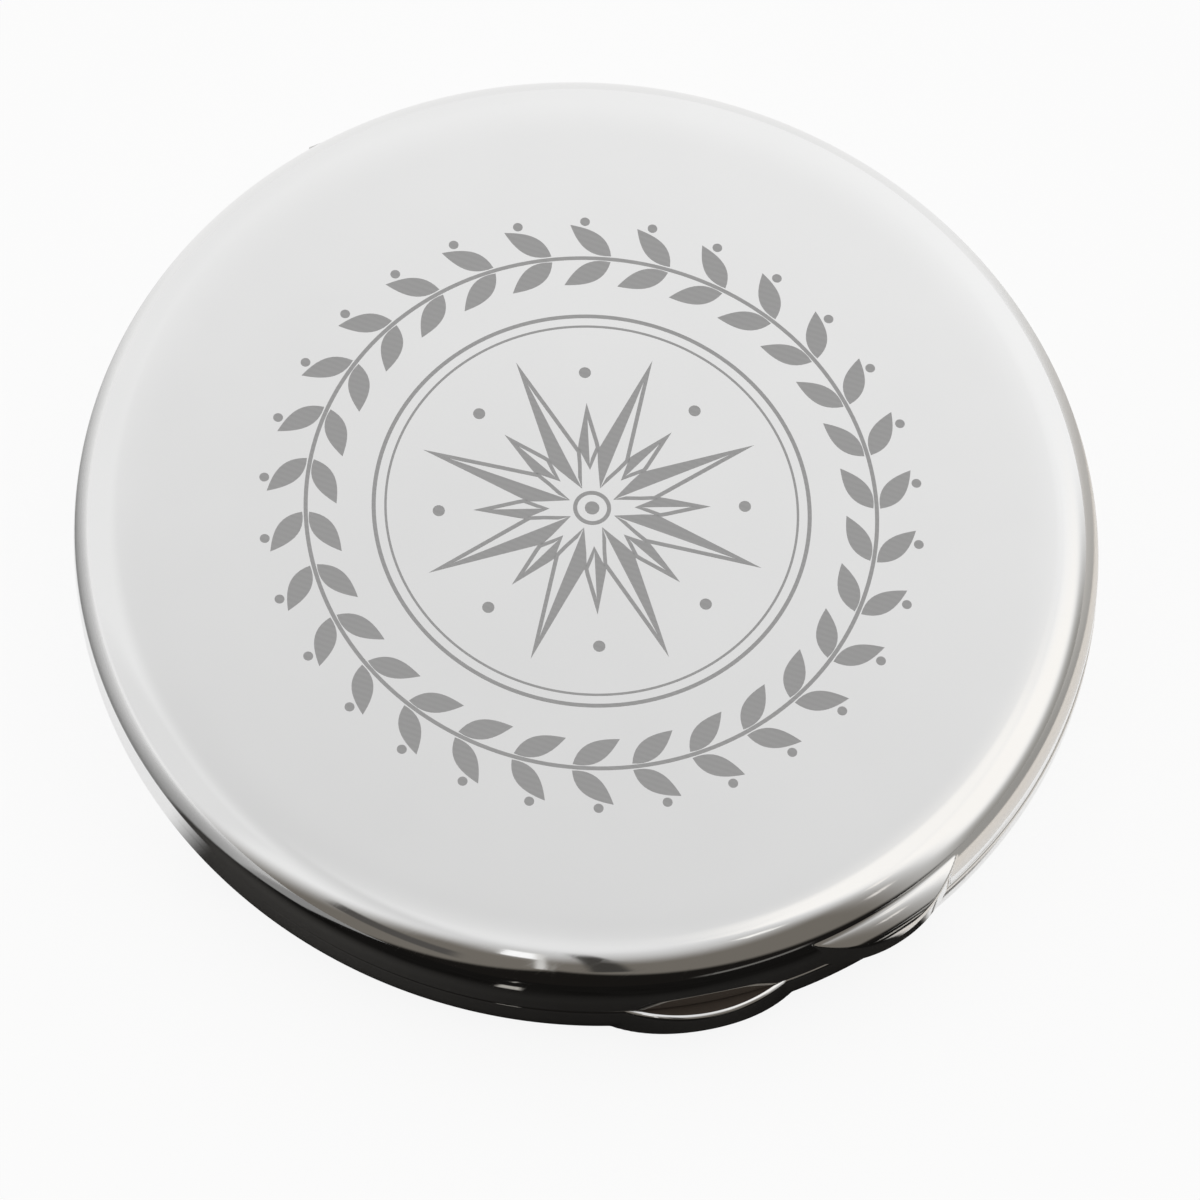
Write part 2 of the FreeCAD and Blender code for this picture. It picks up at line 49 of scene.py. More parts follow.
# Sizes of the two shells, in millimetres
RIM = 35.0
SHEET = 0.7
SHOULDER = 3.4
PARTING = 4.9
RIM_GAP = 0.1
BASE_RIM_ROUND = 0.35
LID_RIM_ROUND = 0.08
LID_WALL = 1.2
BASE_WALL = 1.5
CROWN = 0.9
TAB_REACH = 1.049
TAB_HEIGHT = 3.05
TAB_ROUND = 2.6
TAB_CREASE = 0.06
TAB_EDGE_ROUND = 0.12
NOTCH_HALF = 5.28
NOTCH_DEPTH = 1.3
HUB = RIM - SHOULDER

# Thumb tabs: angle from the front in degrees, radius of the outline, and height of the upright edge
BASE_TAB = {"angle": -11.8, "radius": 11.0, "edge": 2.1}
LID_TAB = {"angle": 10.5, "radius": 9.5, "edge": 1.0}

# Outside a radius the dome falls off faster, by a share of the cube of the distance from it
DOME_FALL = {"from": 29.0, "share": 0.003}

# The engraving keeps the height of the dome, and the metal round it sinks by this much
ENGRAVING_RISE = 0.012

# Each rim is drawn in a trace on one side, at an angle from the front in degrees
LID_SLIP = {"by": 0.1, "angle": 49.0}
BASE_SLIP = {"by": 0.16, "angle": -102.0}


# Node wiring

class Wire:
    """One socket of a node tree, which takes part in sums and products as a number does."""

    def __init__(self, tree, socket=None):
        self.tree = tree
        self.socket = socket

    def add(self, kind, settings=None, sockets=None, output=0):
        """New node: its settings come first, then the values or links of its sockets."""
        node = self.tree.nodes.new(kind)
        for name, value in (settings or {}).items():
            setattr(node, name, value)
        for name, value in (sockets or {}).items():
            if isinstance(value, (Wire, list)):
                for wire in value if isinstance(value, list) else [value]:
                    self.tree.links.new(wire.socket, node.inputs[name])
            else:
                node.inputs[name].default_value = value
        return Wire(self.tree, node.outputs[output])

    def parts(self):
        """The three numbers of a vector."""
        return [self.add("ShaderNodeSeparateXYZ", None, {"Vector": self}, k) for k in range(3)]

    def vector(self, x, y, z=0.0):
        return self.add("ShaderNodeCombineXYZ", None, {"X": x, "Y": y, "Z": z})

    def math(self, operation, first, second=0.0):
        return self.add("ShaderNodeMath", {"operation": operation}, {0: first, 1: second})

    def larger(self, other):
        return self.math("MAXIMUM", self, other)

    def smaller(self, other):
        return self.math("MINIMUM", self, other)

    def __add__(self, other):
        return self.math("ADD", self, other)

    def __sub__(self, other):
        return self.math("SUBTRACT", self, other)

    def __rsub__(self, other):
        return self.math("SUBTRACT", other, self)

    def __mul__(self, other):
        return self.math("MULTIPLY", self, other)

    def __truediv__(self, other):
        return self.math("DIVIDE", self, other)

    def __pow__(self, other):
        return self.math("POWER", self, other)

    __radd__ = __add__
    __rmul__ = __mul__


def grey(value):
    return (value, value, value)


# Materials

# How much longer than wide scratches and brushed grain are
SCRATCH_STRETCH = 18
GRAIN_STRETCH = 14.0

# Width of the turning tool's rings and length over which they change, in millimetres
RING_STEP = 0.16
RING_DRIFT = 22.0


def new_material(name, **fixed):
    """Principled material with some fixed values, its shader node and a wire of object coordinates."""
    material = bpy.data.materials.new(name)
    material.use_nodes = True
    tree = material.node_tree
    shader = next(n for n in tree.nodes if n.type == "BSDF_PRINCIPLED")
    for socket, value in fixed.items():
        shader.inputs[socket.replace("_", " ")].default_value = value
    place = Wire(tree).add("ShaderNodeTexCoord", output="Object")
    return material, shader, place


def set_input(shader, name, wire):
    wire.tree.links.new(wire.socket, shader.inputs[name])


def noise(place, size, detail=3.0, stretch=(1.0, 1.0, 1.0)):
    """Soft noise with spots of about this size in millimetres, drawn out along the axes by stretch."""
    scaled = place.add("ShaderNodeMapping", None, {
        "Vector": place,
        "Scale": tuple(1 / (size * MM * s) for s in stretch),
    })
    return place.add("ShaderNodeTexNoise", None, {"Vector": scaled, "Scale": 1.0, "Detail": detail})


def mix_colours(wire, low, high):
    """Colour between two colours or wires, by a value from 0 to 1."""
    ends = [c if isinstance(c, Wire) else (*c, 1.0) for c in (low, high)]
    return wire.add("ShaderNodeMix", {"data_type": "RGBA"}, {0: wire, 6: ends[0], 7: ends[1]}, 2)


def along(wire, axis):
    """How far a vector reaches along an axis."""
    return wire.add("ShaderNodeVectorMath", {"operation": "DOT_PRODUCT"}, {0: wire, 1: axis}, "Value")


def between(wire, low, high):
    """Share of the way from low to high, held between 0 and 1 and eased at both ends."""
    return wire.add("ShaderNodeMapRange", {"interpolation_type": "SMOOTHSTEP"},
                    {"Value": wire, "From Min": low, "From Max": high})


def frame_mask(wire, edges):
    """Mask of a range of values, from where it starts, is full, is no longer full and ends."""
    return between(wire, edges[0], edges[1]) * between(wire, edges[3], edges[2])


def patch_mask(first, first_edges, second, second_edges):
    """Mask of a patch that is bounded in two ways."""
    return frame_mask(first, first_edges) * frame_mask(second, second_edges)


def bump(height, strength, depth):
    """Surface relief of a height from 0 to 1, as deep as this in millimetres."""
    return height.add("ShaderNodeBump", None, {
        "Strength": strength, "Distance": depth * MM, "Height": height,
    })


def scratches(place, size, turn, width):
    """Sparse hairline scratches, mostly along one direction."""
    short = 1 / (size * MM)
    drawn_out = 1 / (size * SCRATCH_STRETCH * MM)
    turned = place.add("ShaderNodeMapping", None, {
        "Vector": place,
        "Rotation": (0.0, 0.0, math.radians(turn)),
        "Scale": (drawn_out, short, drawn_out),
    })
    cells = place.add("ShaderNodeTexVoronoi", {"feature": "DISTANCE_TO_EDGE"}, {
        "Vector": turned, "Scale": 1.0,
    })
    return 1 - between(cells, 0.0, width)


def polished_plate():
    """Bright nickel-like plate with faint wipe marks and hairlines."""
    material, shader, place = new_material("polished_plate", Metallic=1.0)
    haze = noise(place, 9.0, 4.0)
    wipe = noise(place, 1.2, 3.0, (6.0, 1.0, 1.0))
    hairs = scratches(place, 1.6, 35.0, 0.012) + scratches(place, 2.3, -58.0, 0.010)
    set_input(shader, "Base Color", mix_colours(haze, (0.860, 0.860, 0.858), (0.895, 0.895, 0.893)))
    set_input(shader, "Roughness", 0.035 + 0.03 * haze + 0.02 * wipe + 0.05 * hairs)
    set_input(shader, "Normal", bump(wipe + 0.3 * hairs, 0.02, 0.02))
    return material


def polished_ring():
    """Bright turned ring."""
    material, shader, place = new_material("polished_ring", Metallic=1.0)
    haze = noise(place, 4.0, 4.0)
    set_input(shader, "Base Color", mix_colours(haze, (0.70, 0.695, 0.685), (0.76, 0.755, 0.745)))
    set_input(shader, "Roughness", 0.06 + 0.08 * haze)
    set_input(shader, "Normal", bump(haze, 0.05, 0.02))
    return material


def dark_brown_ledge():
    """Dark brown, rough metal with lighter specks, on the flat ledge of a rim."""
    material, shader, place = new_material("dark_brown_ledge", Metallic=0.4, Specular_IOR_Level=0.3)
    cloud = noise(place, 2.5, 4.0)
    light_specks = between(noise(place, 0.35, 2.0), 0.70, 0.78)
    # Dark brown colour of the ledge, with lighter specks laid over it
    brown = mix_colours(cloud, (0.050, 0.038, 0.029), (0.075, 0.058, 0.045))
    set_input(shader, "Base Color", mix_colours(light_specks, brown, (0.13, 0.115, 0.10)))
    set_input(shader, "Roughness", 0.5 + 0.2 * cloud)
    set_input(shader, "Normal", bump(cloud + 0.4 * light_specks, 0.2, 0.02))
    return material


def turned_plate():
    """Satin plate with fine rings from the turning tool."""
    material, shader, place = new_material("turned_plate", Metallic=1.0)
    across, forward = place.parts()[:2]
    radius = (across * across + forward * forward) ** 0.5
    drift = RING_DRIFT * MM
    ring = place.vector(radius / (RING_STEP * MM), across / drift, forward / drift)
    rings = place.add("ShaderNodeTexNoise", None, {"Vector": ring, "Scale": 1.0, "Detail": 2.0})
    stains = noise(place, 7.0, 4.0)
    tone = rings * 0.7 + stains * 0.3
    set_input(shader, "Base Color", mix_colours(tone, (0.50, 0.495, 0.485), (0.68, 0.675, 0.665)))
    set_input(shader, "Roughness", 0.24 + 0.16 * rings + 0.06 * stains)
    set_input(shader, "Normal", bump(rings, 0.25, 0.03))
    return material


def silvered_glass():
    """Clean mirror with a trace of smears."""
    material, shader, place = new_material("silvered_glass", Metallic=1.0)
    smear = noise(place, 10.0, 5.0, (2.0, 1.0, 1.0))
    set_input(shader, "Base Color", mix_colours(smear, (0.83, 0.85, 0.85), (0.88, 0.90, 0.90)))
    set_input(shader, "Roughness", 0.008 + 0.03 * between(smear, 0.5, 0.9))
    return material


def engraved_metal():
    """Dull grey laser marking with close raster lines."""
    material, shader, place = new_material("engraved_metal", Metallic=0.15)
    lines = place.add("ShaderNodeTexWave", {"bands_direction": "DIAGONAL"},
                      {"Vector": place, "Scale": 1 / (0.9 * MM), "Distortion": 0.4})
    grain = noise(place, 0.25, 3.0)
    cloud = noise(place, 6.0, 3.0)
    tone = 0.4 * grain + 0.3 * lines + 0.3 * cloud
    set_input(shader, "Base Color", mix_colours(tone, (0.38, 0.38, 0.382), (0.45, 0.45, 0.452)))
    set_input(shader, "Roughness", 0.5 + 0.2 * grain)
    set_input(shader, "Normal", bump(lines + grain, 0.2, 0.01))
    return material


def brushed_steel(name, low, high, rough, grain_axis):
    """Plated sheet with a fine brushed grain along one axis."""
    material, shader, place = new_material(name, Metallic=1.0)
    stretch = [GRAIN_STRETCH if axis == grain_axis else 1.0 for axis in "xyz"]
    grain = noise(place, 0.12, 3.0, stretch)
    stains = noise(place, 2.5, 4.0)
    set_input(shader, "Base Color", mix_colours(0.6 * grain + 0.4 * stains, low, high))
    set_input(shader, "Roughness", rough + 0.14 * grain)
    set_input(shader, "Normal", bump(grain, 0.2, 0.02))
    return material


def adhesive_foam():
    """White foam tape with small pores."""
    material, shader, place = new_material("adhesive_foam", Specular_IOR_Level=0.3)
    pores = place.add("ShaderNodeTexVoronoi", None, {"Vector": place, "Scale": 1 / (0.35 * MM)})
    tone = noise(place, 3.0, 3.0)
    set_input(shader, "Base Color", mix_colours(tone, (0.72, 0.71, 0.67), (0.82, 0.81, 0.78)))
    set_input(shader, "Roughness", 0.75 + 0.15 * pores)
    set_input(shader, "Normal", bump(pores, 0.5, 0.05))
    return material


# Brushed steels: name, darkest and lightest colour, least roughness, and axis of the grain
HINGE_STEEL = ("hinge_steel_plated", (0.52, 0.515, 0.505), (0.68, 0.675, 0.665), 0.20, "x")
RIVET_STEEL = ("rivet_steel_plated", (0.58, 0.575, 0.565), (0.72, 0.715, 0.705), 0.16, "z")
SPRING_STEEL = ("spring_steel_strip", (0.40, 0.40, 0.41), (0.56, 0.56, 0.57), 0.26, "x")

PLATE = polished_plate()
LEDGE = dark_brown_ledge()
MATERIALS = {
    "liner_plate": turned_plate(),
    "bezel_plate": polished_ring(),
    "mirror_glass": silvered_glass(),
    "adhesive_foam": adhesive_foam(),
    "hinge_steel": brushed_steel(*HINGE_STEEL),
    "rivet_steel": brushed_steel(*RIVET_STEEL),
    "spring_steel": brushed_steel(*SPRING_STEEL),
}
for part in frame["record"]["subparts"]:
    if part["material_slot"] in MATERIALS:
        nodes[part["node"]].material_slots[0].material = MATERIALS[part["material_slot"]]


# Shells

# How finely the shells are divided: points along a slice, outside and inside, and slices round the rim
DOME_STEPS = 18
FALL_STEPS = 14
SHOULDER_STEPS = 64
WALL_STEPS = 24
RIM_STEPS = 6
LEDGE_SHARES = (0.66, 0.33, 0.0)
INNER_WALL_STEPS = 4
INNER_SHOULDER_STEPS = 10
INNER_DOME_STEPS = 8
TAB_SLICES = 95
OTHER_SLICES = 330

# Angles in degrees: half the stretch with close slices, the room at each end of the notch,
# the step between the two slices there, and the angle from which edges stay sharp
TAB_ZONE = 14
NOTCH_ROOM = 0.3
END_LEAD = 0.001
CREASE = 50

# Small lengths in millimetres: for a slope, for flat faces, and for points that count as one
SLOPE_STEP = 0.001
FLAT_PLAY = 0.001
TRIFLE = 0.0001

# Rounds of the search for the place where the shoulder runs into the dome
JOIN_ROUNDS = 20


def smooth_larger(a, b, blend):
    """The larger of two numbers, rounded over where they are nearly equal."""
    share = min(max(0.5 + 0.5 * (a - b) / blend, 0.0), 1.0)
    return b + (a - b) * share + blend * share * (1 - share)


def smooth_smaller(a, b, blend):
    return -smooth_larger(-a, -b, blend)


class Half:
    """Sizes of one shell. Heights are measured from the parting plane, away from it."""

    def __init__(self, side, wall, crown, rim_round, tab, slip):
        self.side = side
        self.wall = wall
        self.crown = crown
        self.rim_round = rim_round
        self.slip = slip["by"]
        self.slip_turn = math.radians(slip["angle"] - 90)
        self.tab_radius = tab["radius"]
        self.tab_turn = math.radians(tab["angle"] - 90)
        self.tab_low = TAB_HEIGHT - TAB_ROUND
        self.tab_inner = RIM + TAB_REACH - math.sqrt(TAB_ROUND ** 2 - (tab["edge"] - self.tab_low) ** 2)
        self.mouth = RIM_GAP / 2
        self.lean, self.shoulder_foot = self.outside_join()

    def rise(self, inset):
        """Height of the broad face's middle above the shoulder's foot, moved inwards by an inset."""
        return SHOULDER - inset + self.crown

    def ball(self, inset):
        """Radius of the ball that the broad face is part of, moved inwards by an inset."""
        return (HUB ** 2 + self.rise(inset) ** 2 - (SHOULDER - inset) ** 2) / (2 * self.crown)

    def dome_height(self, radius, inset):
        """Height of the broad face at a radius, moved inwards by an inset."""
        top = self.wall + self.rise(inset)
        if not self.crown:
            return top
        ball = self.ball(inset)
        return top - ball + math.sqrt(ball ** 2 - radius ** 2)

    def last_lean(self, inset):
        """Angle of the shoulder where it runs into the broad face."""
        if not self.crown:
            return math.pi / 2
        return math.pi / 2 - math.atan2(HUB, self.ball(inset) - self.rise(inset))

    def outside_join(self):
        """Angle at which the outside shoulder runs into the dome, and the height at which it starts."""
        lean = self.last_lean(0.0)
        if not self.crown:
            return lean, self.wall
        for _ in range(JOIN_ROUNDS):
            edge = HUB + SHOULDER * math.cos(lean)
            fall = self.outside_height(edge - SLOPE_STEP) - self.outside_height(edge + SLOPE_STEP)
            lean = math.pi / 2 - math.atan(fall / (2 * SLOPE_STEP))
        edge = HUB + SHOULDER * math.cos(lean)
        return lean, self.outside_height(edge) - SHOULDER * math.sin(lean)

    def outside_height(self, radius):
        """Height of the broad face outside, with its faster fall near the shoulder."""
        fall = DOME_FALL["share"] * max(radius - DOME_FALL["from"], 0.0) ** 3
        return self.dome_height(radius, 0.0) - (fall if self.crown else 0.0)

    def pillow_radius(self, height):
        """Outside radius of the round shell at a height."""
        over = max(height - self.shoulder_foot, 0.0)
        return HUB + math.sqrt(max(SHOULDER ** 2 - over ** 2, 0.0))

    def tab_edge(self, turn, height):
        """Outside radius of the thumb tab in one direction, or 0 where there is none."""
        away = math.atan2(math.sin(turn - self.tab_turn), math.cos(turn - self.tab_turn))
        centre = RIM + TAB_REACH - self.tab_radius
        over = height - self.mouth - self.tab_low
        reach = self.tab_radius ** 2 - (centre * math.sin(away)) ** 2
        if over >= TAB_ROUND or abs(away) > math.pi / 4 or reach <= 0:
            return 0.0
        upright = centre * math.cos(away) + math.sqrt(reach)
        back = self.tab_inner + math.sqrt(TAB_ROUND ** 2 - max(over, 0.0) ** 2)
        return smooth_smaller(upright, back, TAB_EDGE_ROUND)

    def outside_radius(self, turn, height):
        """Outside radius of the shell and its tab in one direction, at a height."""
        radius = self.pillow_radius(height) - self.slip * max(0.0, math.cos(turn - self.slip_turn))
        return smooth_larger(radius, self.tab_edge(turn, height), TAB_CREASE)


LID = Half(1, LID_WALL, CROWN, LID_RIM_ROUND, LID_TAB, LID_SLIP)
BASE = Half(-1, BASE_WALL, 0.0, BASE_RIM_ROUND, BASE_TAB, BASE_SLIP)


def steps(start, end, count):
    """Evenly spaced numbers from start up to, but not with, end."""
    return [start + (end - start) * i / count for i in range(count)]


def outside_points(half, turn):
    """Radius and height along the outside of one slice, from the middle to the rim's ledge."""
    edge = HUB + SHOULDER * math.cos(half.lean)
    radii = steps(0.0, DOME_FALL["from"], DOME_STEPS) + steps(DOME_FALL["from"], edge, FALL_STEPS)
    points = [(radius, half.outside_height(radius)) for radius in radii]
    low = half.mouth + half.rim_round
    leans = reversed(steps(half.lean, 0.0, SHOULDER_STEPS))
    heights = [half.shoulder_foot + SHOULDER * math.sin(half.lean - lean) for lean in leans]
    heights += steps(half.shoulder_foot, low, WALL_STEPS)
    points += [(half.outside_radius(turn, height), height) for height in heights]
    inmost = half.outside_radius(turn, low) - half.rim_round
    for i in range(RIM_STEPS + 1):
        lean = math.pi / 2 * i / RIM_STEPS
        points.append((inmost + half.rim_round * math.cos(lean), low - half.rim_round * math.sin(lean)))
    ledge = max(inmost - RIM, 0.0)
    points += [(min(RIM, inmost) + ledge * share, half.mouth) for share in LEDGE_SHARES]
    return points


def inside_points(half):
    """Radius and height along the inside of a slice, from the rim to the middle."""
    points = [(RIM - SHEET, height) for height in steps(half.mouth, half.wall, INNER_WALL_STEPS)]
    round_in = SHOULDER - SHEET
    lean_end = half.last_lean(SHEET)
    for lean in steps(0.0, lean_end, INNER_SHOULDER_STEPS):
        points.append((HUB + round_in * math.cos(lean), half.wall + round_in * math.sin(lean)))
    edge = HUB + round_in * math.cos(lean_end)
    radii = reversed(steps(0.0, edge, INNER_DOME_STEPS))
    points += [(radius, half.dome_height(radius, SHEET)) for radius in radii]
    return points


def shell_turns(half):
    """Directions of the slices, closer together round the tab, with two at each end of the notch."""
    near = math.radians(TAB_ZONE)
    turns = [half.tab_turn + near * i / TAB_SLICES for i in range(-TAB_SLICES, TAB_SLICES + 1)]
    rest = 2 * math.pi - 2 * near
    turns += [half.tab_turn + near + rest * i / OTHER_SLICES for i in range(1, OTHER_SLICES)]
    notch = math.asin(NOTCH_HALF / RIM)
    slices = []
    for turn in turns:
        away = math.atan2(math.sin(turn - math.pi / 2), math.cos(turn - math.pi / 2))
        if abs(abs(away) - notch) > math.radians(NOTCH_ROOM):
            slices.append((turn, abs(away) < notch, 0.0))
    for side in (-1, 1):
        end = math.pi / 2 + side * notch
        lead = side * math.radians(END_LEAD)
        slices += [(end, True, -lead), (end, False, lead)]
    start = half.tab_turn - near
    slices.sort(key=lambda one: (one[0] - start) % (2 * math.pi) + one[2])
    return [(turn, in_notch) for turn, in_notch, lead in slices]


def slice_corners(half, turn, in_notch, inside):
    """Corners of one slice, with the notch cut in and the metal sunk round the engraving."""
    corners = []
    for radius, height in outside_points(half, turn) + inside:
        if in_notch and height < NOTCH_DEPTH:
            radius = min(radius, half.pillow_radius(NOTCH_DEPTH))
            height = NOTCH_DEPTH
        if half.crown:
            height -= ENGRAVING_RISE * max(0.0, 1 - radius / RIM)
        up = PARTING + half.side * height
        corners.append(Vector((radius * math.cos(turn), radius * math.sin(turn), up)) * MM)
    return corners


def shell_shape(half):
    """Closed skin of a shell, made from its slices."""
    shape = bmesh.new()
    inside = inside_points(half)
    columns = []
    for turn, in_notch in shell_turns(half):
        corners = slice_corners(half, turn, in_notch, inside)
        columns.append([shape.verts.new(corner) for corner in corners])
    for left, right in zip(columns, columns[1:] + columns[:1]):
        for corners in zip(left, right, right[1:], left[1:]):
            shape.faces.new(corners)
    bmesh.ops.remove_doubles(shape, verts=shape.verts, dist=2 * TRIFLE * MM)
    bmesh.ops.dissolve_degenerate(shape, edges=shape.edges, dist=TRIFLE * MM)
    bmesh.ops.recalc_face_normals(shape, faces=shape.faces)
    return shape


def make_shell(name, half, body, node):
    """Shell with its thumb tab, rolled rim and hinge notch, dark brown on the flat ledge of the rim."""
    shape = shell_shape(half)
    ledge = PARTING + half.side * half.mouth
    for face in shape.faces:
        flat = all(abs(vert.co.z / MM - ledge) < FLAT_PLAY for vert in face.verts)
        face.material_index = 1 if flat else 0
    piece = add_piece(name, shape, [PLATE, LEDGE], math.radians(CREASE))
    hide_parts(node)
    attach(piece, body)


def add_piece(name, shape, materials, crease):
    """Mesh object of a shape, smooth up to a crease angle."""
    mesh = bpy.data.meshes.new(name)
    shape.to_mesh(mesh)
    shape.free()
    for material in materials:
        mesh.materials.append(material)
    mesh.shade_smooth()
    mesh.set_sharp_from_angle(angle=crease)
    piece = bpy.data.objects.new(name, mesh)
    bpy.context.scene.collection.objects.link(piece)
    return piece


make_shell("base_shell_plate", BASE, "base", "base_shell")
make_shell("lid_shell_plate", LID, "lid", "lid_shell")


# Engraving on the lid

# Points of a leaf or ray along and across it, round a circle, and round a dot
STRIP_POINTS = (13, 3)
CIRCLE_POINTS = (181, 2)
DOT_POINTS = 14

# Small sizes of the ornament, in millimetres and degrees
LEAF_START = 0.4
LEAF_LEAN = 36
BERRY_RADIUS = 0.34
BERRY_OFFSET = 2.9
BROAD_RING_INSET = 4.6
FINE_RING_INSET = 5.4
FINE_LINE_SHARE = 0.6
STUD_RADIUS = 0.42
STUD_PLACE = 10.4
EYE_RING = 1.15
EYE_RADIUS = 0.5
MERGE_DISTANCE = 0.0005

# Star rays: share of the star's radius, start in millimetres, where they are widest, and lead in spokes
LONG_RAY = (1.0, 1.6, 0.24, 0.0)
SHORT_RAY = (0.66, 2.9, 0.34, 0.5)


class Medallion:
    """Node tree of a flat round ornament that is laid on the lid's dome: a ring of leaves and a star."""

    SIZES = {
        "Leaf Pairs": 30.0,
        "Ring Radius": 19.4 * MM,
        "Leaf Length": 3.7 * MM,
        "Leaf Width": 1.45 * MM,
        "Line Width": 0.28 * MM,
        "Star Rays": 8.0,
        "Star Radius": 12.2 * MM,
        "Ray Width": 2.3 * MM,
        "Ball Radius": LID.ball(0.0) * MM,
        "Dome Top": (PARTING + LID_WALL + LID.rise(0.0)) * MM,
        "Depth": 0.03 * MM,
    }

    def __init__(self):
        self.tree = bpy.data.node_groups.new("engraved_medallion", "GeometryNodeTree")
        self.tree.interface.new_socket("Geometry", in_out="OUTPUT", socket_type="NodeSocketGeometry")
        for name in self.SIZES:
            self.tree.interface.new_socket(name, in_out="INPUT", socket_type="NodeSocketFloat")
        given = self.tree.nodes.new("NodeGroupInput")
        self.size = {name: Wire(self.tree, given.outputs[name]) for name in self.SIZES}
        self.start = Wire(self.tree)

    def grid(self, points):
        """Flat square of one metre with so many points each way, and wires along and across it."""
        square = self.start.add("GeometryNodeMeshGrid", None, {
            "Size X": 1.0, "Size Y": 1.0, "Vertices X": points[0], "Vertices Y": points[1],
        })
        return [square] + self.start.add("GeometryNodeInputPosition").parts()[:2]

    def strip(self, outline):
        """Flat strip shaped by an outline of the place along and across it, each from 0 to 1."""
        square, length, breadth = self.grid(STRIP_POINTS)
        return self.moved(square, self.start.vector(*outline(length + 0.5, breadth + 0.5)))

    def moved(self, shape, place):
        return self.start.add("GeometryNodeSetPosition", None, {"Geometry": shape, "Position": place})

    def merged(self, shape):
        return self.start.add("GeometryNodeMergeByDistance", None, {
            "Geometry": shape, "Distance": MERGE_DISTANCE * MM,
        })

    def joined(self, shapes):
        return self.start.add("GeometryNodeJoinGeometry", None, {"Geometry": shapes})

    def flipped(self, shape):
        return self.start.add("GeometryNodeFlipFaces", None, {"Mesh": shape})

    def spoke(self, turn, radius):
        """Place in one direction from the middle, so far out."""
        return self.start.vector(turn.math("COSINE", turn) * radius, turn.math("SINE", turn) * radius)

    def round(self, shape, count, radius, lean, lead=0.0):
        """Copies of a shape round the middle, at a lean from their spokes. A lead shifts them all."""
        turn = (self.start.add("GeometryNodeInputIndex") + lead) * math.tau / count
        spots = self.start.add("GeometryNodePoints", None, {
            "Count": count, "Position": self.spoke(turn, radius),
        })
        copies = self.start.add("GeometryNodeInstanceOnPoints", None, {
            "Points": spots, "Instance": shape, "Rotation": self.start.vector(0.0, 0.0, turn + lean),
        })
        return self.start.add("GeometryNodeRealizeInstances", None, {"Geometry": copies})

    def circle(self, radius, width):
        """Thin line round the middle."""
        square, length, breadth = self.grid(CIRCLE_POINTS)
        turn = 0.0 - length * math.tau
        return self.moved(square, self.spoke(turn, radius + breadth * width))

    def dot(self, radius):
        return self.start.add("GeometryNodeMeshCircle", {"fill_type": "NGON"}, {
            "Vertices": DOT_POINTS, "Radius": radius,
        })

    def leaf(self, side):
        """Pointed leaf that starts beside the ring, fuller near its stalk."""
        def outline(length, breadth):
            full = 4.0 * length * (1 - length) * (1.25 - 0.5 * length)
            out = length * self.size["Leaf Length"] + LEAF_START * MM
            return out, (breadth - 0.5) * full * self.size["Leaf Width"]
        lean = math.pi / 2 - side * math.radians(LEAF_LEAN)
        return self.round(self.strip(outline), self.size["Leaf Pairs"], self.size["Ring Radius"], lean)

    def ray(self, share, start, waist, lead):
        """Star ray, filled on one side of its middle and drawn as a line on the other."""
        reach = self.size["Star Radius"] * share - start * MM
        half = self.size["Ray Width"] * (0.5 * share)

        def width(length):
            return (length / waist).smaller((1 - length) / (1 - waist)) * half

        def filled(length, breadth):
            return length * reach + start * MM, breadth * width(length)

        def line(length, breadth):
            inner = (width(length) - self.size["Line Width"]).larger(0.0)
            return length * reach + start * MM, (1 - breadth) * -1.0 * inner - breadth * width(length)
        both = self.joined([self.strip(filled), self.flipped(self.strip(line))])
        return self.round(both, self.size["Star Rays"], 0.0, 0.0, lead)

    def finish(self, shapes, material):
        """Lay the flat shapes on the dome, give them a thickness and close them."""
        flat = self.merged(self.joined(shapes))
        across, forward = self.start.add("GeometryNodeInputPosition").parts()[:2]
        ball = self.size["Ball Radius"]
        over = (ball * ball - across * across - forward * forward) ** 0.5
        face = self.moved(flat, self.start.vector(across, forward, over - ball + self.size["Dome Top"]))
        wall = self.start.add("GeometryNodeExtrudeMesh", {"mode": "FACES"}, {
            "Mesh": self.flipped(face), "Offset": self.start.vector(0.0, 0.0, -1.0),
            "Offset Scale": self.size["Depth"], "Individual": False,
        })
        solid = self.merged(self.joined([face, wall]))
        whole = self.start.add("GeometryNodeRealizeInstances", None, {"Geometry": solid})
        done = self.start.add("GeometryNodeSetMaterial", None, {"Geometry": whole, "Material": material})
        output = self.tree.nodes.new("NodeGroupOutput")
        self.tree.links.new(done.socket, output.inputs["Geometry"])


def piece_from_tree(name, tree, sizes):
    """Run a node tree on an empty mesh and keep the result as a plain mesh object."""
    carrier = bpy.data.objects.new(name + "_carrier", bpy.data.meshes.new(name + "_carrier"))
    bpy.context.scene.collection.objects.link(carrier)
    modifier = carrier.modifiers.new("shape", "NODES")
    modifier.node_group = tree
    for item in tree.interface.items_tree:
        if item.in_out == "INPUT":
            modifier[item.identifier] = sizes[item.name]
    bpy.context.view_layer.update()
    mesh = bpy.data.meshes.new_from_object(carrier.evaluated_get(bpy.context.evaluated_depsgraph_get()))
    bpy.data.objects.remove(carrier)
    piece = bpy.data.objects.new(name, mesh)
    bpy.context.scene.collection.objects.link(piece)
    return piece


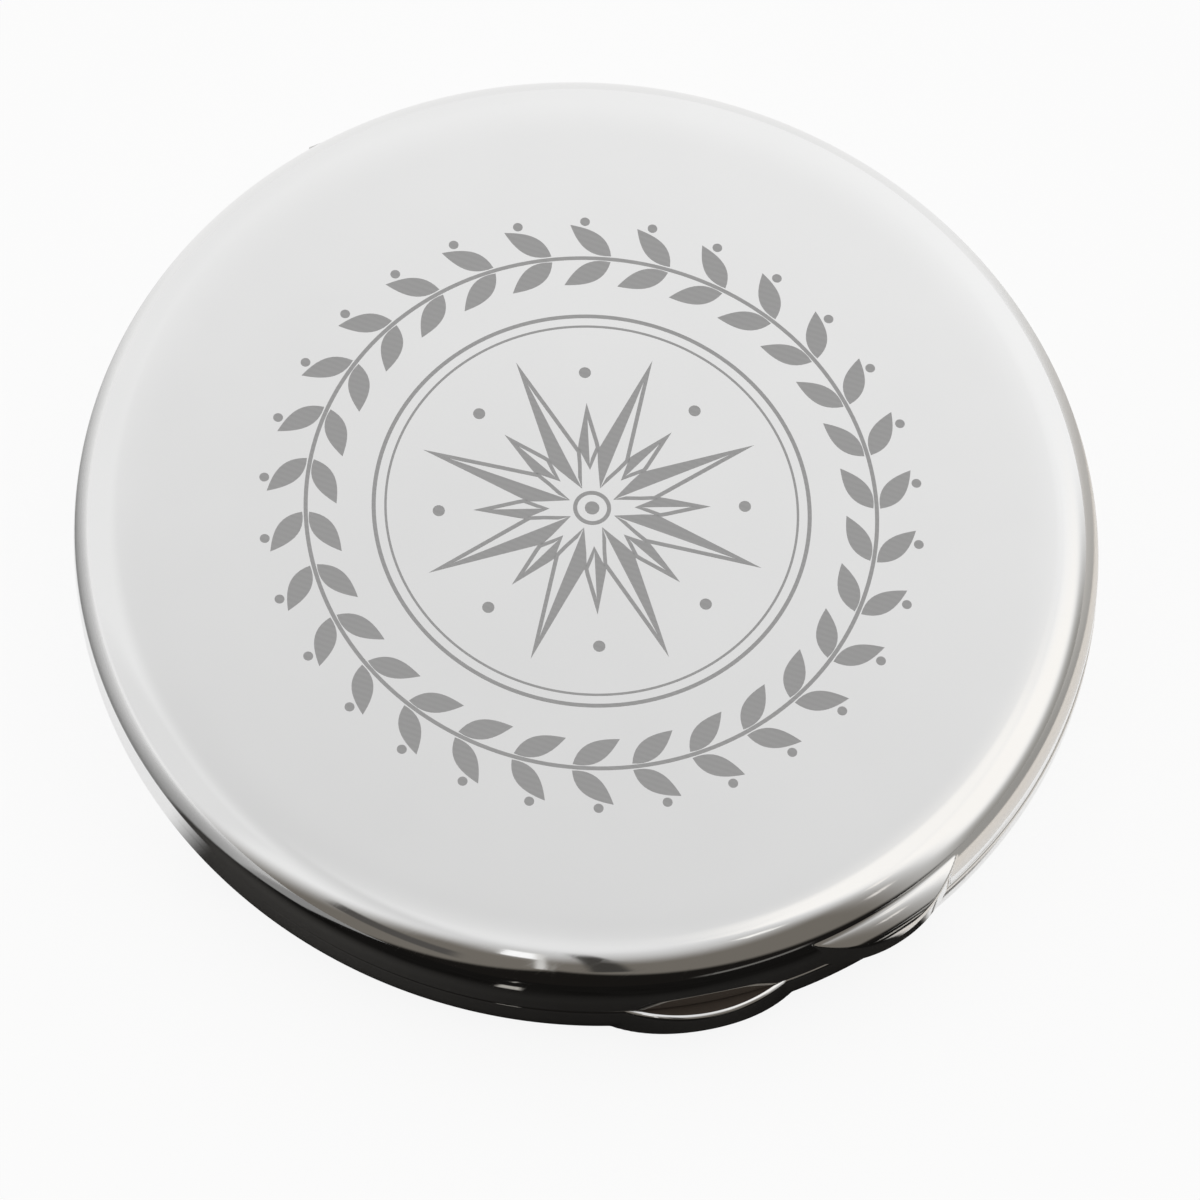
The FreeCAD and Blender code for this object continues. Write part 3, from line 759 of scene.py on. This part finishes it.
def make_engraving():
    """Ring of leaves and berries round a star, on the lid."""
    medallion = Medallion()
    size = medallion.size
    ring = size["Ring Radius"]
    line = size["Line Width"]
    berry = medallion.dot(BERRY_RADIUS * MM)
    stud = medallion.dot(STUD_RADIUS * MM)
    shapes = [
        medallion.circle(ring, line),
        medallion.leaf(1),
        medallion.leaf(-1),
        medallion.round(berry, size["Leaf Pairs"], ring + BERRY_OFFSET * MM, 0.0, 0.5),
        medallion.circle(ring - BROAD_RING_INSET * MM, line),
        medallion.circle(ring - FINE_RING_INSET * MM, line * FINE_LINE_SHARE),
        medallion.ray(*LONG_RAY),
        medallion.ray(*SHORT_RAY),
        medallion.round(stud, size["Star Rays"], STUD_PLACE * MM, 0.0, 0.5),
        medallion.circle(EYE_RING * MM, line),
        medallion.dot(EYE_RADIUS * MM),
    ]
    medallion.finish(shapes, engraved_metal())
    piece = piece_from_tree("lid_engraving", medallion.tree, Medallion.SIZES)
    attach(piece, "lid")


make_engraving()


# Camera and floor

# Camera as fitted to the outline in the photograph, in degrees, millimetres and pixels
CAMERA_TURN = -32.0
CAMERA_LIFT = 62.94
CAMERA_ROLL = 7.66
CAMERA_DISTANCE = 700.0
PIXELS_PER_MM = 14.66
FRAME_PIXELS = 1200
CENTRE_PIXEL = (587.2, 544.4)
SENSOR_WIDTH = 36.0
CLIP_START = 10.0

# Half the width of the floor and the card, and the card's height, in millimetres
STAGE_HALF = 4000
CARD_HEIGHT = 0.05

# How much each kind of ray sees the floor as plain white
FLOOR_WHITE = {"Is Camera Ray": 0.90, "Is Glossy Ray": 0.7, "Is Transmission Ray": 0.7}


def towards(turn, lift):
    """Direction so many degrees to the right of the camera and above the floor."""
    around = math.radians(CAMERA_TURN + turn)
    above = math.radians(lift)
    level = math.cos(above)
    return Vector((math.sin(around) * level, -math.cos(around) * level, math.sin(above)))


def add_camera():
    """Camera that sees the part's middle at its pixel of the photograph, and at the same scale."""
    centre = Vector((0, 0, PARTING))
    back = towards(0, CAMERA_LIFT)
    level = towards(90, 0)
    upright = back.cross(level)
    roll = math.radians(CAMERA_ROLL)
    right = math.cos(roll) * level + math.sin(roll) * upright
    up = -math.sin(roll) * level + math.cos(roll) * upright
    aside = (CENTRE_PIXEL[0] - FRAME_PIXELS / 2) / PIXELS_PER_MM
    above = (FRAME_PIXELS / 2 - CENTRE_PIXEL[1]) / PIXELS_PER_MM
    place = centre + CAMERA_DISTANCE * back
    aim = centre - aside * right - above * up
    back = (place - aim).normalized()
    right = (right - right.dot(back) * back).normalized()
    up = back.cross(right)
    lens = bpy.data.cameras.new("camera")
    lens.sensor_width = SENSOR_WIDTH
    lens.lens = PIXELS_PER_MM * CAMERA_DISTANCE / FRAME_PIXELS * SENSOR_WIDTH
    lens.clip_start = CLIP_START * MM
    camera = bpy.data.objects.new("camera", lens)
    turned = Matrix((right, up, back)).transposed().to_4x4()
    camera.matrix_world = Matrix.Translation(place * MM) @ turned
    bpy.context.scene.collection.objects.link(camera)
    bpy.context.scene.camera = camera


def add_stage(name, height, material, reflection_only):
    """Flat square floor or card at a height in millimetres."""
    signs = ((-1, -1), (1, -1), (1, 1), (-1, 1))
    corners = [Vector((x * STAGE_HALF, y * STAGE_HALF, height)) * MM for x, y in signs]
    mesh = bpy.data.meshes.new(name)
    mesh.from_pydata(corners, [], [range(len(corners))])
    mesh.materials.append(material)
    card = bpy.data.objects.new(name, mesh)
    bpy.context.scene.collection.objects.link(card)
    if reflection_only:
        card.visible_camera = False
        card.visible_diffuse = False
        card.visible_shadow = False


def floor_material():
    """Pale matte floor that reads as white and still takes the shadow."""
    material, shader, place = new_material("pale_floor", Roughness=0.9, Specular_IOR_Level=0.1)
    grain = noise(place, 3.0, 3.0)
    set_input(shader, "Base Color", mix_colours(grain, grey(0.93), grey(0.95)))
    rays = [part * place.add("ShaderNodeLightPath", output=kind) for kind, part in FLOOR_WHITE.items()]
    white = place.add("ShaderNodeEmission", None, {"Color": (*grey(1.0), 1.0), "Strength": 1.0})
    tree = place.tree
    matte = Wire(tree, shader.outputs["BSDF"])
    mixed = place.add("ShaderNodeMixShader", None, {0: sum(rays), 1: matte, 2: white})
    output = next(n for n in tree.nodes if n.type == "OUTPUT_MATERIAL")
    tree.links.new(mixed.socket, output.inputs["Surface"])
    return material


# Table top that only the reflections show

TABLE_DARK = (0.004, 0.0037, 0.0033)
TABLE_NEAR = (0.085, 0.082, 0.078)
TABLE_GLEAM = (0.60, 0.58, 0.54)
# Grey on the left is a painted shadow of the part on the floor, strongest near it
LEFT_SHADOW_GREY = (0.36, 0.36, 0.36)
RIGHT_FLOOR = (0.42, 0.41, 0.39)
RIGHT_FLOOR_BEHIND = (0.72, 0.70, 0.67)
RIGHT_FLOOR_NEAR = (0.90, 0.80, 0.68)
# Thin dark ring at the part's foot: a painted contact shadow
FOOT_SHADOW_LINE = (0.03, 0.028, 0.025)


class Table:
    """Table top: dark in front, a painted shadow in grey on the left, beige and then grey on the right.

    Places are in millimetres from the middle, aside from the camera, ahead towards it, or in reach.
    Turns are in degrees to the right of the camera.
    """

    def __init__(self):
        self.material, self.shader, self.place = new_material("dark_table", Specular_IOR_Level=0.0)
        self.aside = along(self.place, towards(90, 0)) / MM
        self.ahead = along(self.place, towards(0, 0)) / MM
        self.turn = self.place.math("ARCTAN2", self.aside, self.ahead) * RADIAN
        self.reach = (self.aside * self.aside + self.ahead * self.ahead) ** 0.5

    def dark_part(self):
        """Mask of the dark table: between its left and right edges, and in a wedge on the right."""
        left_edge = 31.0 + 0.43 * (self.ahead - 50.0).larger(0.0)
        right_edge = 26.0 + 1.15 * (self.ahead - 24.0) + 4.0 * between(self.reach, 40.0, 39.0)
        left = between(self.aside + left_edge, -1.0, 1.5)
        right = between(right_edge - self.aside, -1.0, 2.5)
        wedge = between(self.reach, 50.0, 54.0) * between(self.turn, 62.0, 57.0)
        left_corner = between(self.ahead + self.aside, -7.0, -3.0)
        front = between(self.ahead, 6.0, 12.0)
        return left * left_corner * right.larger(wedge) * front

    def dark_colour(self):
        """Nearly black, lighter close to the part, with three gleams."""
        grain = noise(self.place, 8.0, 3.0)
        close = between(self.reach, 52.0, 37.0) * (0.25 + 0.6 * between(self.aside, 5.0, -25.0))
        top = mix_colours(0.15 * grain + close, TABLE_DARK, TABLE_NEAR)
        broad = patch_mask(self.aside, (-3.6, -3.0, -1.0, -0.4), self.ahead, (47, 49, 55, 57))
        slender = patch_mask(self.aside, (-3.9, -3.5, -3.0, -2.6), self.ahead, (88, 92, 130, 136))
        right = patch_mask(self.reach, (64, 67, 77, 80), self.turn, (48, 50, 55, 57))
        return mix_colours(broad + slender + right, top, TABLE_GLEAM)

    def left_shadow_cover(self):
        """How much of the grey on the left shows, a painted shadow of the part on the floor: less
        further out, and all beside the dark table.
        """
        away = (self.reach - RIM).larger(1.0)
        fading = 1.33 - 0.285 * away.math("LOGARITHM", away, math.e)
        cover = fading.larger(0.0).smaller(0.97)
        cover = cover + (1 - cover) * 0.6 * between(self.turn, -68.0, -44.0)
        beside_table = between(self.turn, -48.0, -38.0)
        not_behind = between(self.turn, -130.0, -85.0)
        left_half = between(self.aside, 0.0, -10.0)
        return cover.larger(beside_table) * not_behind * left_half

    def right_side(self):
        """Colour of the floor on the right, and how much of it shows."""
        near_edge = 54.0 - 0.6 * (self.turn - 90.0).larger(0.0)
        near = between(near_edge - self.reach, -4.0, 4.0)
        far_colour = mix_colours(between(self.turn, 80.0, 125.0), RIGHT_FLOOR, RIGHT_FLOOR_BEHIND)
        cover = 0.95 - near * (0.38 + 0.15 * between(self.reach, 46.0, 37.0))
        not_behind = between(self.turn, 150.0, 115.0)
        right_half = between(self.aside, 5.0, 20.0)
        return mix_colours(near, far_colour, RIGHT_FLOOR_NEAR), cover * right_half * not_behind

    def foot_shadow_line(self):
        """Mask of a thin dark line along the part's foot on the right, a painted contact shadow, which
        winds in a little.
        """
        winding = self.reach + 0.02 * (self.turn - 55.0)
        return 0.9 * patch_mask(winding, (36.0, 36.06, 36.2, 36.3), self.turn, (49.5, 51.5, 53.0, 72.0))

    def lit_foot(self):
        """Mask of the bare floor at the part's foot, on both sides and beside the tab."""
        sides = between(self.turn, -42.0, -50.0) + between(self.turn, 60.0, 66.0)
        beside_tab = between(self.reach, 36.9, 36.6) * between(self.turn, 49.5, 51.5)
        return (between(self.reach, 38.0, 37.0) * sides).larger(beside_tab)

    def finish(self):
        """Lay the parts together, and return the material."""
        dark = self.dark_part()
        # Painted contact shadow along the part's foot on the right
        line = self.foot_shadow_line()
        right_colour, right_cover = self.right_side()
        # The grey on the left side is painted shadow
        sides = mix_colours(between(self.aside, -10.0, 10.0), LEFT_SHADOW_GREY, right_colour)
        colour = mix_colours(dark, sides, self.dark_colour())
        set_input(self.shader, "Base Color", mix_colours(line, colour, FOOT_SHADOW_LINE))
        cover = dark.larger(self.left_shadow_cover().larger(right_cover))
        set_input(self.shader, "Alpha", (cover * (1 - self.lit_foot())).larger(line))
        return self.material


# Sky

# Greys of the dome from left to right, at the height of walls and above it, and overhead
WALL_GREYS = (0.90, 1.0)
CEILING_GREYS = (0.733, 0.768)
OVERHEAD_GREY = 0.87

# Patches of the dome: turns and lifts at which each starts, is full, is no longer full and ends,
# and its colour
LEFT_WALL = ((-98, -84, -60, -50), (-5, 5, 45, 60), grey(0.82))
LOW_STREAK = ((26, 32, 44, 48), (0.5, 2.5, 4.0, 6), (0.16, 0.155, 0.145))
ROOM_PATCHES = {
    "grey wall on the right": ((60, 80, 110, 134), (-40, -30, 2, 32), (0.33, 0.32, 0.30)),
    "cream wall above it": ((70, 84, 112, 145), (12, 30, 52, 68), (1.07, 1.045, 1.01)),
    "glow above that": ((70, 88, 128, 158), (54, 63, 75, 83), (1.05, 1.03, 1.0)),
    "dark block on the left": ((-38, -34, -15, -11), (22, 26, 35, 40), (0.085, 0.08, 0.075)),
    "dark post": ((10, 12, 17, 19.5), (33, 37, 66, 78), (0.05, 0.047, 0.043)),
    "window": ((-7, -6, 1, 2.5), (54, 57, 66, 70), (1.1, 1.1, 1.1)),
    "light line beside it": ((0.8, 1.5, 2.8, 3.5), (33, 36, 66, 72), (0.7, 0.69, 0.67)),
    "high streak": ((51, 53, 60, 63), (62, 64, 66, 68), (1.05, 1.04, 1.0)),
    "middle streak": ((70, 71.5, 74, 76), (48.5, 50, 52.5, 54), (0.95, 0.92, 0.88)),
    "lower streak": ((62, 63.5, 66, 68), (32.5, 34, 37, 39), (0.80, 0.77, 0.73)),
}
ROOM_COLOUR = (0.17, 0.155, 0.135)
DARK_HILL = {"turn": 5, "top": 34.5, "left_fall": 1.07, "right_fall": 0.5}
DARK_HILL_COLOUR = (0.010, 0.009, 0.008)


class Sky:
    """Pale studio dome with a dim room behind the camera.

    Turns are in degrees to the right of the camera, and lifts in degrees above the floor.
    """

    def __init__(self):
        world = bpy.data.worlds.new("studio_dome")
        bpy.context.scene.world = world
        world.use_nodes = True
        self.tree = world.node_tree
        self.tree.nodes.clear()
        ray = Wire(self.tree).add("ShaderNodeTexCoord", output="Generated")
        aside = along(ray, towards(90, 0))
        self.turn = ray.math("ARCTAN2", aside, along(ray, towards(0, 0))) * RADIAN
        self.lift = ray.math("ARCSINE", along(ray, Vector((0, 0, 1)))) * RADIAN
        wall = mix_colours(between(aside, -0.7, 0.5), *map(grey, WALL_GREYS))
        ceiling = mix_colours(between(aside, -0.2, 0.2), *map(grey, CEILING_GREYS))
        self.colour = mix_colours(between(self.lift, 44.0, 76.0), wall, ceiling)
        self.paint(between(self.lift, 73.0, 86.0), grey(OVERHEAD_GREY))

    def room(self):
        """Mask of the dim room, whose left side leans outwards with the height."""
        left = between(self.turn - 0.5 * self.lift, -68.0, -42.0)
        return left * between(self.turn, 84.0, 56.0) * frame_mask(self.lift, (-40.0, -20.0, 48.0, 81.0))

    def hill(self, turn, top, left_fall, right_fall):
        """Mask of what lies below a peak that falls off on both sides, by degrees of lift per degree."""
        offset = self.turn - turn
        drop = (offset * right_fall).larger(offset * -left_fall)
        return between(top - drop - self.lift, -4.0, 4.0)

    def paint(self, mask, colour):
        """Lay a colour over the dome where the mask is 1."""
        self.colour = mix_colours(mask, self.colour, colour)

    def paint_patch(self, turns, lifts, colour):
        self.paint(patch_mask(self.turn, turns, self.lift, lifts), colour)

    def finish(self):
        light = self.colour.add("ShaderNodeBackground", None, {"Color": self.colour, "Strength": 1.0})
        output = self.tree.nodes.new("ShaderNodeOutputWorld")
        self.tree.links.new(light.socket, output.inputs["Surface"])


def add_world():
    """Sky with the room and its patches, each laid over the ones before it."""
    sky = Sky()
    sky.paint_patch(*LEFT_WALL)
    sky.paint(sky.room(), ROOM_COLOUR)
    for patch in ROOM_PATCHES.values():
        sky.paint_patch(*patch)
    sky.paint(sky.hill(**DARK_HILL), DARK_HILL_COLOUR)
    sky.paint_patch(*LOW_STREAK)
    sky.finish()


add_camera()
add_stage("floor", 0, floor_material(), False)
add_stage("table_card", CARD_HEIGHT, Table().finish(), True)
add_world()
bpy.context.scene.view_settings.view_transform = "Standard"
